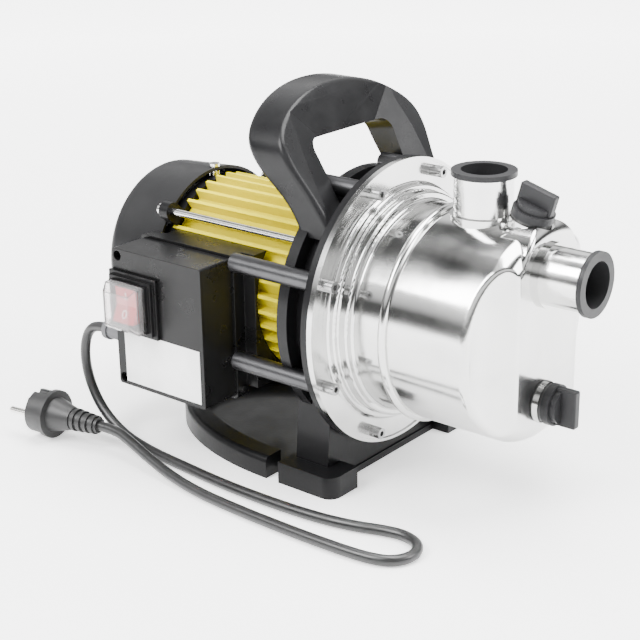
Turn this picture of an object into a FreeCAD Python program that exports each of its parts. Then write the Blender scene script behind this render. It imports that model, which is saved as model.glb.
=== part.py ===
"""Self-priming garden jet pump with a stainless casing, finned motor and terminal box.

Frame: millimetres, +Z up, +X from the motor towards the suction neck, origin on the
floor under the shaft axis, in the middle of the pedestal.
"""
import FreeCAD
import Part
import math
import os

V = FreeCAD.Vector
UP = V(0, 0, 1)
ALONG = V(1, 0, 0)
GAP = 0.3                 # clearance between neighbouring loose pieces

# Shaft line and the front face of the casing flange
AXIS_Z = 120.0
FLANGE_X = 30.0

# Stainless casing, lengths measured forwards from the flange face
FLANGE_R = 100.0
PUMP_SCALE = FLANGE_R / 100.0    # the pump end's radii keep their share of the flange
FLANGE_T = 3.0
COLLAR_R = 82.0 * PUMP_SCALE
COLLAR_LEN = 5.0
STEP_R = 78.0 * PUMP_SCALE
STEP_LEN = 12.0
BODY_R = 72.5 * PUMP_SCALE
BODY_WALL = 2.5
RIM_H = 1.0               # rolled rim of the flange
RIM_W = 2.0
COLLAR_ROUND = 1.5
COLLAR_FOOT = 2.0
BEAD_X = 37.0
BEAD_R = 3.2
NOSE_LEN = 116.0
NOZZLE_X = NOSE_LEN - 30.0
NOZZLE_DISC_R = 24.0
SHOULDER_R = 14.0
SCOOP_ROUND = 5.0
HOOD_EDGE_ROUND = 3.0
FLANK_R = 34.0 * PUMP_SCALE   # vertical scoops on both sides of the nose
FLANK_X = NOSE_LEN + 18.0
FLANK_Y = 66.5 * PUMP_SCALE
HOOD_R = 35.0 * PUMP_SCALE    # arch round the suction neck
HOOD_TOP_R = BODY_R + 5.0
HOOD_BACK = NOSE_LEN - 28.0
HOOD_ROUND = 10.0
NOSE_CAVITY_HALF = 28.0 * PUMP_SCALE
NOSE_CAVITY_RISE = 54.0 * PUMP_SCALE

# Suction and discharge necks, both G1
SUCTION_RISE = 42.5 * PUMP_SCALE
SUCTION_END = NOSE_LEN + 33.0
DISCHARGE_OFF = NOSE_LEN - 52.0
DISCHARGE_TOP = BODY_R + 30.8
NECK_R = 19.4
NECK_WALL = 2.4
INSERT_RIM_R = 21.4
INSERT_RIM_T = 3.5
THREAD_R = 15.15
INSERT_LEN = 30.0
WELD_R = 21.6
WELD_H = 3.0

# Screw plugs, both G1/2
PLUG_PITCH = 1.814
PLUG_THREAD_R = 10.2
PLUG_HOLE_R = 10.6
PLUG_THREAD_LEN = 8.0
PLUG_FLANGE_R = 14.0
PLUG_FLANGE_T = 5.0
PLUG_COLLAR_R = 11.5
PLUG_COLLAR_T = 4.0
PLUG_WING_W = 26.0
PLUG_WING_H = 11.0
PLUG_WING_T = 6.5
SEAL_RING_R = 13.0
SEAL_RING_T = 2.0
BOSS_R = 14.5
FILLER_OFF = NOSE_LEN - 16.0
FILLER_TILT = 16.0
FILLER_SEAT = BODY_R + 4.0    # height of the boss face above the shaft
DRAIN_DROP = 45.0 * PUMP_SCALE
DRAIN_SEAT = NOSE_LEN + 2.0   # boss face forwards of the flange face

# Plates between casing and bracket, measured backwards from the flange face
GASKET_T = 2.0
GASKET_R = COLLAR_R + 2.0
CLAMP_T = 5.0
CLAMP_BORE_R = GASKET_R + 0.4
SEAL_PLATE_T = 3.0
BOLT_COUNT = 8
BOLT_CIRCLE_R = FLANGE_R - 8.0
BOLT_R = 3.0
BOLT_HEAD_R = 4.0
BOLT_HEAD_LEN = 9.0
BOLT_TAIL = 18.0          # bolt stops this far inside its sleeve
BOLT_SOCKET_R = 2.0
BOLT_SOCKET_DEPTH = 3.5
SLEEVE_R = 6.5
SLEEVE_LEN = 70.0         # the four at the sides
SLEEVE_SHORT = 36.0       # the four above and below
SLEEVE_CHAMFER = 0.8

# Bracket: drum and rear disc carrying the motor
DRUM_R = 80.0 * PUMP_SCALE
DRUM_WALL = 5.0
DISC_R = 90.3 * PUMP_SCALE
DISC_T = 8.4
DISC_REAR = 36.4          # rear face behind the flange face
HUB_R = 26.0
HUB_LEN = 16.0

# Shaft and bearings
SHAFT_R = 8.5
SHAFT_NOSE_R = 6.0
BEARING_F_R = 20.0
BEARING_F_W = 12.0
BEARING_R_R = 17.5
BEARING_R_W = 11.0
SHAFT_REAR_R = 7.5
RACE_T = 3.4
SHIELD_INSET = 0.6
BEARING_SEAL_T = 1.0
RUNNING = 0.05

# Motor, lengths measured backwards from the flange face
HOUSING_R = 57.0
HOUSING_WALL = 4.0
FIN_TIP_R = HOUSING_R + 7.5
FIN_T = 2.6
FIN_COUNT = 36
HOUSING_REAR = 165.0
STATOR_FRONT = 72.0
STATOR_LEN = 62.0
STATOR_BORE_R = HOUSING_R - 25.5
WINDING_LEN = 15.0
WINDING_IN_R = STATOR_BORE_R + 2.5
WINDING_OUT_R = HOUSING_R - 9.0
WINDING_ROUND = 4.0
AIR_GAP = 0.4
SHIELD_T = 8.0
SHIELD_R = HOUSING_R + 5.0
TIE_R = 2.5
TIE_CIRCLE_R = FIN_TIP_R + 10.5
TIE_ANGLE = 41.0
TIE_LUG_R = 6.5
TIE_LUG_T = 8.0
TIE_HEAD_R = 4.2
TIE_HEAD_T = 4.0

# Fan and its cover
COVER_FRONT = 169.5
COVER_REAR = 224.9
COVER_R = FIN_TIP_R + 4.3
COVER_REAR_R = COVER_R - 2.8
COVER_WALL = 2.2
COVER_ROUND = 9.0
COVER_SCREW_X = -172.5    # relative to the flange face
COVER_SLOTS = 24
COVER_SLOT_W = 4.0
FAN_R = COVER_R - 14.8
FAN_HUB_R = 14.0
FAN_REAR = 206.0
FAN_DEPTH = 22.0
FAN_BLADES = 9

# Terminal box on the -Y side of the motor
BOX_X0 = -171.6           # relative to the flange face
BOX_X1 = -87.6
BOX_Z0 = -67.9            # relative to the shaft
BOX_Z1 = 33.6
BOX_BACK = FIN_TIP_R + 1.5
BOX_SPLIT = BOX_BACK + 11.0
BOX_FRONT = BOX_SPLIT + 30.8  # distance of the cover's face from the shaft
BOX_LIP = 2.0
BOX_WALL = 2.5
BOX_NECK_IN = 12.0
BOX_SIDE_SCREW_Y = BOX_BACK + 5.0
BOX_SIDE_SCREW_R = 2.6
BOX_SEAT = FIN_TIP_R - 24.5
BOX_HOLE_R = 3.6
BOX_HOLE_INSET = 5.0
CAPACITOR_R = 13.5
CAPACITOR_X = -158.0
CAPACITOR_LEN = 58.0
CAPACITOR_Z = 14.0
PLATE_T = 0.5
PLATE_W = 72.6
PLATE_H = 39.0
PLATE_X0 = -163.6
PLATE_Z0 = -64.6

# Switch
SWITCH_X = -150.5
SWITCH_Z = -3.5
SWITCH_W = 45.0
SWITCH_H = 44.0
SWITCH_STEP = 2.8
SWITCH_STEPS = 3
ROCKER_W = 19.0
ROCKER_H = 24.0
ROCKER_TILT = 9.0
ROCKER_PIVOT = BOX_FRONT + 3.2
SPLASH_W = 31.0
SPLASH_H = 34.0
SPLASH_OUT = 11.0
SPLASH_WALL = 1.2

# Gland and mains lead
GLAND_Y = BOX_FRONT - 12.8
GLAND_Z = -36.0
GLAND_R = 6.2
GLAND_LEN = 23.0
GLAND_RING_R = 7.6
CORD_D = 7.4
CORD_ARC_SHARE = 0.45

# Carrying handle, an arch that leans back over the motor
HANDLE_FOOT_Z = 57.0 * PUMP_SCALE    # underside of the feet above the shaft
HANDLE_FRONT = [(-2.0, 50.0), (-6.5, 60.0), (-18.7, 80.0), (-37.0, 110.0), (-49.8, 130.0), (-59.0, 150.0)]
HANDLE_BACK = [(-34.0, 50.0), (-37.0, 61.0), (-46.0, 78.0), (-62.0, 98.0), (-75.0, 118.0), (-90.0, 150.0)]
HANDLE_ARCH = [(0.0, 146.5), (36.0, 141.5), (61.0, 130.0), (74.0, 116.0), (75.0, 104.0), (69.5, 82.0), (66.0, 57.0),
               (65.5, 50.0)]    # half outline seen along the shaft
HANDLE_ROUND = 4.0
WINDOW_FRONT = (-30.0, 41.0 * PUMP_SCALE, 118.0 * PUMP_SCALE)   # station, half width and top of the finger opening
WINDOW_REAR = (-78.0, 50.0 * PUMP_SCALE, 109.0 * PUMP_SCALE)
WINDOW_ROUND = 9.0
HANDLE_SCREW_R = 3.0
HANDLE_SCREW_X = -18.0
HANDLE_SCREW_ANGLE = 43.0

# Foot
FOOT_HALF_W = 83.0
PAD_X0 = -45.0
PAD_X1 = 3.0
PAD_INNER = 55.0
PAD_H = 16.0
PAD_ROUND = 9.0
RAIL_X = -56.0
RAIL_REAR = 192.0
RAIL_W = 16.0
RAIL_H = 16.0
TRAY_T = 5.0
PEDESTAL_X0 = -40.0
PEDESTAL_X1 = -12.0
PEDESTAL_HALF_W = 62.0

# Mains plug lying on the floor
PLUG_END = V(-153.7, -120.0, 18.3)
PLUG_YAW = 7.5
PLUG_SLEEVE_LEN = 24.0
PLUG_NECK_LEN = 17.0
PLUG_DISC_T = 4.0
PLUG_DISC_R = 18.0
PLUG_BODY_LEN = 13.0
PLUG_BODY_R = 16.2
PIN_R = 2.4
PIN_LEN = 19.0
PIN_PITCH = 19.0


def fx(offset):
    """X of a station given from the flange face."""
    return FLANGE_X + offset


def az(offset):
    """Z of a height given from the shaft."""
    return AXIS_Z + offset


def rod(radius, x0, x1, y=0.0, z=0.0):
    """Cylinder along X, placed from the shaft line."""
    return Part.makeCylinder(radius, x1 - x0, V(fx(x0), y, az(z)), ALONG)


def tube(outer, inner, x0, x1, y=0.0, z=0.0):
    """Round tube along X."""
    return rod(outer, x0, x1, y, z).cut(rod(inner, x0 - 1, x1 + 1, y, z))


def block(x0, x1, y0, y1, z0, z1):
    """Box between two corners, X from the flange face and Z from the shaft."""
    return Part.makeBox(x1 - x0, y1 - y0, z1 - z0, V(fx(x0), y0, az(z0)))


def fuse(shapes):
    """Fuse a list of overlapping shapes into one clean solid."""
    return shapes[0].multiFuse(shapes[1:]).removeSplitter()


def turned(points, z=0.0):
    """Revolve a closed profile of (x, radius) points about a line along X.

    A point written as (x, radius, mx, mr) is reached by an arc through (mx, mr).
    """
    edges = []
    last = V(fx(points[-1][0]), 0, az(z) + points[-1][1])
    for point in points:
        here = V(fx(point[0]), 0, az(z) + point[1])
        if len(point) == 4:
            middle = V(fx(point[2]), 0, az(z) + point[3])
            edges.append(Part.Arc(last, middle, here).toShape())
        elif here.distanceToPoint(last) > 1e-6:
            edges.append(Part.LineSegment(last, here).toShape())
        last = here
    face = Part.Face(Part.Wire(edges))
    return face.revolve(V(fx(0), 0, az(z)), ALONG, 360)


def on_circle(count, radius, start=0.0):
    """Offsets (y, z) of points spread round the shaft."""
    spots = []
    for index in range(count):
        angle = math.radians(start + 360.0 * index / count)
        spots.append((radius * math.cos(angle), radius * math.sin(angle)))
    return spots


def around_shaft(shape, angle):
    """Copy of a shape turned about the shaft."""
    copy = shape.copy()
    copy.rotate(V(0, 0, AXIS_Z), ALONG, angle)
    return copy


BOLT_SPOTS = on_circle(BOLT_COUNT, BOLT_CIRCLE_R, 180.0 / BOLT_COUNT)
TIE_SPOTS = []
for side in (-1, 1):
    for level in (-1, 1):
        TIE_SPOTS.append((side * TIE_CIRCLE_R * math.cos(math.radians(TIE_ANGLE)),
                          level * TIE_CIRCLE_R * math.sin(math.radians(TIE_ANGLE))))
STACK_REAR = -(FLANGE_T + CLAMP_T)
DISC_FRONT = -(DISC_REAR - DISC_T)
FILLER_DIR = V(math.sin(math.radians(FILLER_TILT)), 0, math.cos(math.radians(FILLER_TILT)))
FILLER_BASE = V(fx(FILLER_OFF), 0, az(FILLER_SEAT))
DRAIN_BASE = V(fx(DRAIN_SEAT), 0, az(-DRAIN_DROP))
DISCHARGE_AXIS = V(fx(DISCHARGE_OFF), 0, 0)


def upright(radius, z0, z1):
    """Cylinder on the discharge axis, heights from the shaft."""
    return Part.makeCylinder(radius, z1 - z0, V(DISCHARGE_AXIS.x, 0, az(z0)), UP)


BEND = 1 - math.sqrt(0.5)   # how far the middle of a quarter arc stays from its corner


def casing_bowl():
    """Turned bowl: rolled rim, flange, stepped collar, beaded body and rounded nose."""
    foot = COLLAR_FOOT
    r = COLLAR_ROUND
    return turned([
        (-FLANGE_T, 0), (-FLANGE_T, FLANGE_R), (RIM_H, FLANGE_R), (RIM_H, FLANGE_R - RIM_W), (0, FLANGE_R - RIM_W),
        (0, COLLAR_R + foot), (foot, COLLAR_R, foot * BEND, COLLAR_R + foot * BEND),
        (COLLAR_LEN - r, COLLAR_R), (COLLAR_LEN, COLLAR_R - r, COLLAR_LEN - r * BEND, COLLAR_R - r * BEND),
        (COLLAR_LEN, STEP_R + 1), (COLLAR_LEN + 1, STEP_R, COLLAR_LEN + BEND, STEP_R + BEND),
        (STEP_LEN - r, STEP_R), (STEP_LEN, STEP_R - r, STEP_LEN - r * BEND, STEP_R - r * BEND),
        (STEP_LEN, BODY_R + foot), (STEP_LEN + foot, BODY_R, STEP_LEN + foot * BEND, BODY_R + foot * BEND),
        (BEAD_X - BEAD_R, BODY_R), (BEAD_X + BEAD_R, BODY_R, BEAD_X, BODY_R + BEAD_R),
        (NOSE_LEN - SHOULDER_R, BODY_R),
        (NOSE_LEN, BODY_R - SHOULDER_R, NOSE_LEN - SHOULDER_R * BEND, BODY_R - SHOULDER_R * BEND),
        (NOSE_LEN, 0)])


def round_cylinder_edges(shape, radius, axis, centre, rounding):
    """Round every edge that lies on one cylinder, given by its axis direction and a point on the axis."""
    chosen = []
    for edge in shape.Edges:
        away = [(point - centre).cross(axis).Length - radius for point in edge.discretize(5)]
        if max(away) < 0.05 and min(away) > -0.05:
            chosen.append(edge)
    return shape.makeFillet(rounding, chosen)


def casing_outside():
    """Bowl with soft flank scoops, the hood round the suction neck, weld rings and plug bosses."""
    body = casing_bowl()
    for side in (-1, 1):
        scoop = Part.makeCylinder(FLANK_R, 4 * BODY_R, V(fx(FLANK_X), side * FLANK_Y, az(-2 * BODY_R)), UP)
        body = body.cut(scoop)
    for side in (-1, 1):
        body = round_cylinder_edges(body, FLANK_R, UP, V(fx(FLANK_X), side * FLANK_Y, 0), SCOOP_ROUND)
    r = HOOD_ROUND
    crown = turned([
        (HOOD_BACK, 0), (HOOD_BACK, BODY_R - 1.5), (NOSE_LEN - r - 4, HOOD_TOP_R), (NOSE_LEN - r, HOOD_TOP_R),
        (NOSE_LEN, HOOD_TOP_R - r, NOSE_LEN - r * BEND, HOOD_TOP_R - r * BEND), (NOSE_LEN, 0)])
    hood = crown.common(rod(HOOD_R, HOOD_BACK, NOSE_LEN, 0, SUCTION_RISE))
    body = fuse([body, hood])
    body = round_cylinder_edges(body, HOOD_R, ALONG, V(0, 0, az(SUCTION_RISE)), HOOD_EDGE_ROUND)
    weld_s = rod(WELD_R, NOSE_LEN - 4, NOSE_LEN + WELD_H, 0, SUCTION_RISE)
    weld_d = upright(WELD_R, BODY_R - 8, BODY_R + WELD_H - 1)
    boss_d = rod(BOSS_R, NOSE_LEN - 4, DRAIN_SEAT, 0, -DRAIN_DROP)
    boss_f = Part.makeCylinder(BOSS_R, 14, FILLER_BASE - FILLER_DIR * 14, FILLER_DIR)
    return fuse([body, weld_s, weld_d, boss_d, boss_f])


def casing_inside():
    """Water space, neck holes, plug holes and bolt holes."""
    inner = BODY_R - BODY_WALL
    back = FLANK_X - FLANK_R - BODY_WALL
    space = [
        rod(inner, -FLANGE_T - 1, back),
        block(back - 1, NOSE_LEN - BODY_WALL - 1, -NOSE_CAVITY_HALF, NOSE_CAVITY_HALF,
              -NOSE_CAVITY_RISE, NOSE_CAVITY_RISE),
        rod(NECK_R, back, NOSE_LEN + 20, 0, SUCTION_RISE),
        upright(NECK_R, BODY_R - 32, BODY_R + 20),
        rod(PLUG_HOLE_R, back, NOSE_LEN + 20, 0, -DRAIN_DROP),
        Part.makeCylinder(PLUG_HOLE_R, 60, FILLER_BASE - FILLER_DIR * 25, FILLER_DIR),
        Part.makeCylinder(BOSS_R + 1, 30, FILLER_BASE, FILLER_DIR)]
    for y, z in BOLT_SPOTS:
        space.append(rod(BOLT_R + GAP, -FLANGE_T - 1, 1, y, z))
    return space


def pump_casing():
    shell = casing_outside()
    for space in casing_inside():
        shell = shell.cut(space)
    return shell


def suction_neck():
    return tube(NECK_R, NECK_R - NECK_WALL, NOSE_LEN - BODY_WALL - 1,
                SUCTION_END - INSERT_RIM_T, 0, SUCTION_RISE)


def suction_insert():
    """Dark threaded insert that lines the suction neck."""
    rim = rod(INSERT_RIM_R, SUCTION_END - INSERT_RIM_T, SUCTION_END, 0, SUCTION_RISE)
    sleeve = rod(NECK_R - NECK_WALL, SUCTION_END - INSERT_LEN, SUCTION_END, 0, SUCTION_RISE)
    bore = rod(THREAD_R, SUCTION_END - INSERT_LEN - 1, SUCTION_END + 1, 0, SUCTION_RISE)
    return fuse([rim, sleeve]).cut(bore)


def discharge_neck():
    top = DISCHARGE_TOP - INSERT_RIM_T
    low = BODY_R - 5
    return upright(NECK_R, low, top).cut(upright(NECK_R - NECK_WALL, low - 1, top + 1))


def discharge_insert():
    """Dark threaded insert that lines the discharge neck."""
    rim = upright(INSERT_RIM_R, DISCHARGE_TOP - INSERT_RIM_T, DISCHARGE_TOP)
    sleeve = upright(NECK_R - NECK_WALL, DISCHARGE_TOP - INSERT_LEN, DISCHARGE_TOP)
    bore = upright(THREAD_R, DISCHARGE_TOP - INSERT_LEN - 1, DISCHARGE_TOP + 1)
    return fuse([rim, sleeve]).cut(bore)


def screw_plug(base, direction, sideways):
    """Plug with shank, flange, collar and wing, its seal face GAP above a ring on the base."""
    seat = base + direction * SEAL_RING_T
    shank = Part.makeCylinder(PLUG_THREAD_R, PLUG_THREAD_LEN + SEAL_RING_T + 1,
                              seat - direction * (PLUG_THREAD_LEN + SEAL_RING_T), direction)
    flange = Part.makeCylinder(PLUG_FLANGE_R, PLUG_FLANGE_T, seat, direction)
    collar = Part.makeCylinder(PLUG_COLLAR_R, PLUG_COLLAR_T + 1,
                               seat + direction * (PLUG_FLANGE_T - 1), direction)
    wing = Part.makeBox(PLUG_WING_T, PLUG_WING_W, PLUG_WING_H + PLUG_COLLAR_T)
    wing = wing.makeFillet(1.2, wing.Edges)
    wing.translate(V(-PLUG_WING_T / 2, -PLUG_WING_W / 2, 0))
    across = direction.cross(sideways)
    turn = FreeCAD.Matrix(across.x, sideways.x, direction.x, 0,
                          across.y, sideways.y, direction.y, 0,
                          across.z, sideways.z, direction.z, 0, 0, 0, 0, 1)
    wing = wing.transformGeometry(turn)
    wing.translate(seat + direction * (PLUG_FLANGE_T - 0.5))
    return fuse([shank, flange, collar, wing])


def seal_ring(base, direction):
    """Flat ring that the plug presses on its boss."""
    ring = Part.makeCylinder(SEAL_RING_R, SEAL_RING_T, base, direction)
    hole = Part.makeCylinder(PLUG_THREAD_R + GAP, SEAL_RING_T + 2, base - direction, direction)
    return ring.cut(hole)


def filler_plug():
    sideways = V(FILLER_DIR.z, 0, -FILLER_DIR.x)
    return screw_plug(FILLER_BASE, FILLER_DIR, sideways)


def drain_plug():
    return screw_plug(DRAIN_BASE, ALONG, UP)


def casing_gasket():
    return tube(GASKET_R, BODY_R + 1, -FLANGE_T - GASKET_T, -FLANGE_T)


def seal_plate():
    """Plate that closes the water space behind the impeller."""
    rear = STACK_REAR
    return tube(GASKET_R, 12.0, rear, rear + SEAL_PLATE_T)


def clamp_ring():
    ring = tube(FLANGE_R, CLAMP_BORE_R, STACK_REAR, -FLANGE_T)
    for y, z in BOLT_SPOTS:
        ring = ring.cut(rod(BOLT_R + GAP, STACK_REAR - 1, 1, y, z))
    return ring


def sleeve_len(y, z):
    """Long sleeves at the sides, short ones above and below."""
    return SLEEVE_LEN if abs(y) > abs(z) else SLEEVE_SHORT


def flange_bolts():
    """Socket-head bolts, head in front of the flange."""
    bolts = []
    for y, z in BOLT_SPOTS:
        head = rod(BOLT_HEAD_R, 0, BOLT_HEAD_LEN, y, z)
        shank = rod(BOLT_R, STACK_REAR - sleeve_len(y, z) + BOLT_TAIL, 1, y, z)
        socket = rod(BOLT_SOCKET_R, BOLT_HEAD_LEN - BOLT_SOCKET_DEPTH, BOLT_HEAD_LEN + 1, y, z)
        bolts.append(fuse([head, shank]).cut(socket))
    return Part.makeCompound(bolts)


def spacer_sleeves():
    sleeves = []
    for y, z in BOLT_SPOTS:
        rear = STACK_REAR - sleeve_len(y, z)
        body = rod(SLEEVE_R, rear, STACK_REAR, y, z)
        body = body.makeChamfer(SLEEVE_CHAMFER, [edge for edge in body.Edges if edge.BoundBox.XLength < 0.1])
        sleeves.append(body.cut(rod(BOLT_R + GAP, rear + BOLT_TAIL - 2, 0, y, z)))
    return Part.makeCompound(sleeves)


def sleeve_ways():
    """Clearance round every sleeve, for the pieces that they pass through."""
    ways = []
    for y, z in BOLT_SPOTS:
        ways.append(rod(SLEEVE_R + GAP / 3, STACK_REAR - sleeve_len(y, z) - 1, STACK_REAR + 0.5, y, z))
    return ways


def front_bracket():
    """Black drum with a rear disc, bearing hub and ribs."""
    drum = rod(DRUM_R, DISC_FRONT - 1, STACK_REAR)
    drum = drum.cut(rod(DRUM_R - DRUM_WALL, DISC_FRONT, STACK_REAR + 1))
    disc = rod(DISC_R, -DISC_REAR, DISC_FRONT)
    hub = rod(HUB_R, -DISC_REAR, -DISC_REAR + HUB_LEN)
    parts = [drum, disc, hub]
    rib = block(DISC_FRONT - 1, DISC_FRONT + 6, -2, 2, HUB_R - 3, DRUM_R - 2)
    for index in range(6):
        parts.append(around_shaft(rib, 60.0 * index))
    body = fuse(parts)
    body = body.cut(rod(BEARING_F_R, -DISC_REAR + 3, 0))
    body = body.cut(rod(BEARING_F_R - 4, -DISC_REAR - 1, 0))
    for way in sleeve_ways():
        body = body.cut(way)
    for base, out in handle_screw_axes():
        body = body.cut(Part.makeCylinder(HANDLE_SCREW_R + GAP / 3, DRUM_R / 2, base + out * (DRUM_R / 2 + 1), out))
    return body


def outer_race(outer, race, x0, width):
    return tube(outer, outer - race, x0, x0 + width)


def bearing_shields(outer, inner, x0, width):
    """Two thin seal rings between the races, clear of the inner one."""
    seals = []
    for start in (x0 + SHIELD_INSET, x0 + width - SHIELD_INSET - BEARING_SEAL_T):
        seals.append(tube(outer + 0.2, inner + RUNNING * 4, start, start + BEARING_SEAL_T))
    return seals


BEARING_F_X = -DISC_REAR + 3
BEARING_R_X = -HOUSING_REAR - 2
INNER_F_R = SHAFT_R + RACE_T
INNER_R_R = SHAFT_REAR_R + RACE_T - 0.4


def front_bearing():
    race = outer_race(BEARING_F_R, RACE_T, BEARING_F_X, BEARING_F_W)
    return fuse([race] + bearing_shields(BEARING_F_R - RACE_T, INNER_F_R, BEARING_F_X, BEARING_F_W))


def front_bearing_inner():
    return tube(INNER_F_R, SHAFT_R, BEARING_F_X, BEARING_F_X + BEARING_F_W)


def rear_bearing():
    race_t = RACE_T - 0.4
    race = outer_race(BEARING_R_R, race_t, BEARING_R_X, BEARING_R_W)
    return fuse([race] + bearing_shields(BEARING_R_R - race_t, INNER_R_R, BEARING_R_X, BEARING_R_W))


def rear_bearing_inner():
    return tube(INNER_R_R, SHAFT_REAR_R, BEARING_R_X, BEARING_R_X + BEARING_R_W)


def motor_housing():
    """Round shell with longitudinal cooling fins."""
    shell = rod(HOUSING_R, -HOUSING_REAR, -DISC_REAR)
    fin = block(-HOUSING_REAR, -DISC_REAR, -FIN_T / 2, FIN_T / 2, HOUSING_R - 1, FIN_TIP_R)
    fins = []
    for index in range(FIN_COUNT):
        fins.append(around_shaft(fin, 360.0 * (index + 0.5) / FIN_COUNT))
    shell = fuse([shell] + fins)
    return shell.cut(rod(HOUSING_R - HOUSING_WALL, -HOUSING_REAR - 1, 0))


def stator_core():
    return tube(HOUSING_R - HOUSING_WALL, STATOR_BORE_R, -STATOR_FRONT - STATOR_LEN, -STATOR_FRONT)


def stator_windings():
    """End windings on both faces of the stator."""
    rings = []
    for face, out in ((-STATOR_FRONT, 1), (-STATOR_FRONT - STATOR_LEN, -1)):
        far = face + out * WINDING_LEN
        rings.append(turned([(face, WINDING_IN_R), (face, WINDING_OUT_R),
                             (far - out * WINDING_ROUND, WINDING_OUT_R), (far, WINDING_OUT_R - WINDING_ROUND),
                             (far, WINDING_IN_R + WINDING_ROUND), (far - out * WINDING_ROUND, WINDING_IN_R)]))
    return Part.makeCompound(rings)


def rotor_core():
    """Laminated core with slanting bars between two end rings."""
    core_r = STATOR_BORE_R - AIR_GAP
    rear = -STATOR_FRONT - STATOR_LEN
    core = tube(core_r, SHAFT_R, rear, -STATOR_FRONT)
    ends = [tube(core_r - 3, SHAFT_R + 8, -STATOR_FRONT - 0.5, -STATOR_FRONT + 5),
            tube(core_r - 3, SHAFT_R + 8, rear - 5, rear + 0.5)]
    return fuse([core] + ends)


SHAFT_REAR = -FAN_REAR - 2
IMPELLER_X = 6.0
IMPELLER_LEN = 14.0
IMPELLER_R = BODY_R - 26.5


def shaft():
    """Stepped shaft from the fan to the impeller nut."""
    return turned([
        (SHAFT_REAR, 0), (SHAFT_REAR, SHAFT_REAR_R), (BEARING_R_X + BEARING_R_W, SHAFT_REAR_R),
        (BEARING_R_X + BEARING_R_W, SHAFT_R), (-STATOR_FRONT + 20, SHAFT_R),
        (-4, SHAFT_R), (-4, SHAFT_NOSE_R), (IMPELLER_X + IMPELLER_LEN + 7, SHAFT_NOSE_R),
        (IMPELLER_X + IMPELLER_LEN + 7, 0)])


def mechanical_seal():
    """Fixed seat of the shaft seal, in the seal plate."""
    return tube(12.0, SHAFT_R + 0.6, STACK_REAR - 3, -4 - 0.2)


def seal_face():
    """Turning half of the shaft seal."""
    return turned([(-4, SHAFT_NOSE_R), (-4, 10.5), (1, 10.5), (1, 12.5), (IMPELLER_X, 12.5),
                   (IMPELLER_X, SHAFT_NOSE_R)])


def impeller():
    """Closed impeller: back disc, swept blades, front disc with its eye."""
    back = rod(IMPELLER_R, IMPELLER_X, IMPELLER_X + 2.5)
    hub = rod(11.0, IMPELLER_X, IMPELLER_X + IMPELLER_LEN)
    front = tube(IMPELLER_R, 17.0, IMPELLER_X + 9.5, IMPELLER_X + 11.5)
    eye = tube(19.0, 17.0, IMPELLER_X + 9.5, IMPELLER_X + IMPELLER_LEN)
    parts = [back, hub, front, eye]
    blade = rod(26.0, IMPELLER_X + 2, IMPELLER_X + 10, 26.0, 12.0)
    blade = blade.cut(rod(24.0, IMPELLER_X + 1, IMPELLER_X + 11, 26.0, 12.0))
    keep = tube(IMPELLER_R - 0.5, 10.0, IMPELLER_X + 2, IMPELLER_X + 10)
    blade = blade.common(keep)
    blade = blade.common(block(IMPELLER_X, IMPELLER_X + 12, 0, 60, -60, 12))
    for index in range(6):
        parts.append(around_shaft(blade, 60.0 * index))
    return fuse(parts).cut(rod(SHAFT_NOSE_R, 0, IMPELLER_X + IMPELLER_LEN + 1))


def impeller_nut():
    corners = []
    for index in range(7):
        angle = math.radians(60.0 * index)
        corners.append(V(fx(IMPELLER_X + IMPELLER_LEN), 9.2 * math.cos(angle), az(9.2 * math.sin(angle))))
    hexagon = Part.Face(Part.makePolygon(corners)).extrude(V(5, 0, 0))
    return hexagon.cut(rod(SHAFT_NOSE_R, 0, 60))


DIFFUSER_X = 3.0
DIFFUSER_LEN = 28.0
DIFFUSER_ROOM = 20.0
VENTURI_R = 16.0


def diffuser():
    """Guide body round the impeller, with the eye passage at its front."""
    bowl_r = BODY_R - BODY_WALL - 8.0
    room_r = IMPELLER_R + 3.0
    passage = (bowl_r + room_r) / 2.0
    body = rod(bowl_r, DIFFUSER_X, DIFFUSER_X + DIFFUSER_LEN)
    body = body.fuse(rod(VENTURI_R + 6, DIFFUSER_X + DIFFUSER_ROOM, DIFFUSER_X + DIFFUSER_LEN + 12)).removeSplitter()
    body = body.cut(rod(room_r, DIFFUSER_X - 1, DIFFUSER_X + DIFFUSER_ROOM))
    body = body.cut(rod(VENTURI_R, DIFFUSER_X, DIFFUSER_X + DIFFUSER_LEN + 13))
    slot = rod((bowl_r - room_r) / 2.0 - 2.0, DIFFUSER_X + DIFFUSER_ROOM / 2, DIFFUSER_X + DIFFUSER_LEN + 1, passage, 0)
    for index in range(6):
        body = body.cut(around_shaft(slot, 60.0 * index))
    legs = tube(bowl_r + 4, bowl_r - 1.5, -FLANGE_T - GASKET_T, DIFFUSER_X + 2)
    return body.fuse(legs).removeSplitter()


def venturi_tube():
    """Tapered throat between the nozzle and the impeller eye."""
    start = DIFFUSER_X + DIFFUSER_LEN + 2
    shoulder = start + 12
    end = NOZZLE_X - 2
    return turned([(start, VENTURI_R - 2), (start, VENTURI_R), (shoulder, VENTURI_R), (shoulder, 13.0),
                   (end, 11.5), (end, 9.0), (end - 14, 6.0), (end - 20, 6.0)])


def jet_nozzle():
    """Cone that feeds the venturi, carried in the casing's nose."""
    base = NOZZLE_X + 10
    cone = turned([(NOZZLE_X, 3.0), (NOZZLE_X, 5.0), (base, 12.0), (base + 4, 12.0), (base + 4, NOZZLE_DISC_R),
                   (base + 7, NOZZLE_DISC_R), (base + 7, 9.0), (base + 1, 9.0)])
    strut = block(base + 4, NOSE_LEN - BODY_WALL - 1, -2, 2, NOZZLE_DISC_R - 10, NOZZLE_DISC_R)
    return fuse([cone, strut, around_shaft(strut, 180.0)])


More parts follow.
